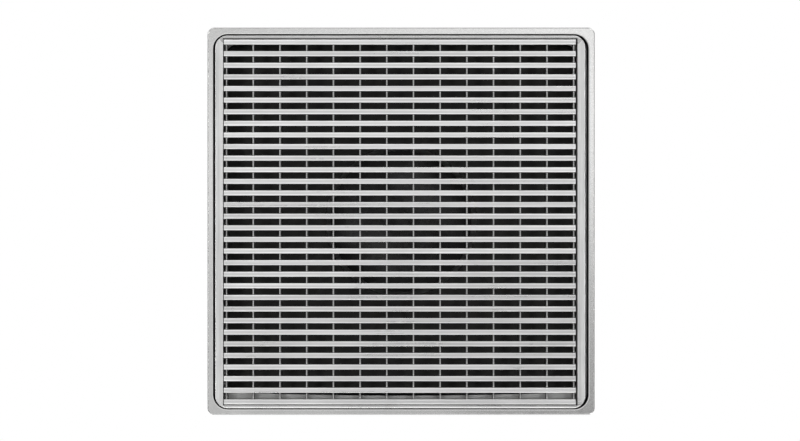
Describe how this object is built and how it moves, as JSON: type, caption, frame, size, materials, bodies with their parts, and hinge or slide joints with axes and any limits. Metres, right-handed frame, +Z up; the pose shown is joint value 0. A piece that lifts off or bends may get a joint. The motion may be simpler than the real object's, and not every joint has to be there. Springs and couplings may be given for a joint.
{
  "type": "square shower drain",
  "caption": "Square shower drain: cast rim and shallow sump on a threaded outlet throat, with a lift-out grate of parallel wedge wires on cross rods in a thin ring.",
  "frame": {"origin": "centre of the throat's lower end", "axes": "+Z up out of the grate, X along the wedge wires, Y along the support rods"},
  "size_m": [0.127, 0.127, 0.0609],
  "materials": {
    "cast_steel": "fine satin, as cast and polished",
    "turned_steel": "turned and threaded",
    "ring_steel": "satin, brushed along its length",
    "wire_steel": "satin, drawn and brushed along its length",
    "rod_steel": "plain drawn"
  },
  "bodies": {
    "root": {"drain_head": "cast_steel", "threaded_throat": "turned_steel", "grate_ring": "ring_steel", "wedge_wire_01": "wire_steel", "wedge_wire_02": "wire_steel", "wedge_wire_03": "wire_steel", "wedge_wire_04": "wire_steel", "wedge_wire_05": "wire_steel", "wedge_wire_06": "wire_steel", "wedge_wire_07": "wire_steel", "wedge_wire_08": "wire_steel", "wedge_wire_09": "wire_steel", "wedge_wire_10": "wire_steel", "wedge_wire_11": "wire_steel", "wedge_wire_12": "wire_steel", "wedge_wire_13": "wire_steel", "wedge_wire_14": "wire_steel", "wedge_wire_15": "wire_steel", "wedge_wire_16": "wire_steel", "wedge_wire_17": "wire_steel", "wedge_wire_18": "wire_steel", "wedge_wire_19": "wire_steel", "wedge_wire_20": "wire_steel", "wedge_wire_21": "wire_steel", "wedge_wire_22": "wire_steel", "wedge_wire_23": "wire_steel", "wedge_wire_24": "wire_steel", "wedge_wire_25": "wire_steel", "wedge_wire_26": "wire_steel", "wedge_wire_27": "wire_steel", "wedge_wire_28": "wire_steel", "wedge_wire_29": "wire_steel", "wedge_wire_30": "wire_steel", "wedge_wire_31": "wire_steel", "wedge_wire_32": "wire_steel", "support_rod_01": "rod_steel", "support_rod_02": "rod_steel", "support_rod_03": "rod_steel", "support_rod_04": "rod_steel", "support_rod_05": "rod_steel", "support_rod_06": "rod_steel", "support_rod_07": "rod_steel", "support_rod_08": "rod_steel", "support_rod_09": "rod_steel", "support_rod_10": "rod_steel", "support_rod_11": "rod_steel", "support_rod_12": "rod_steel", "support_rod_13": "rod_steel", "support_rod_14": "rod_steel"}
  },
  "joints": []
}
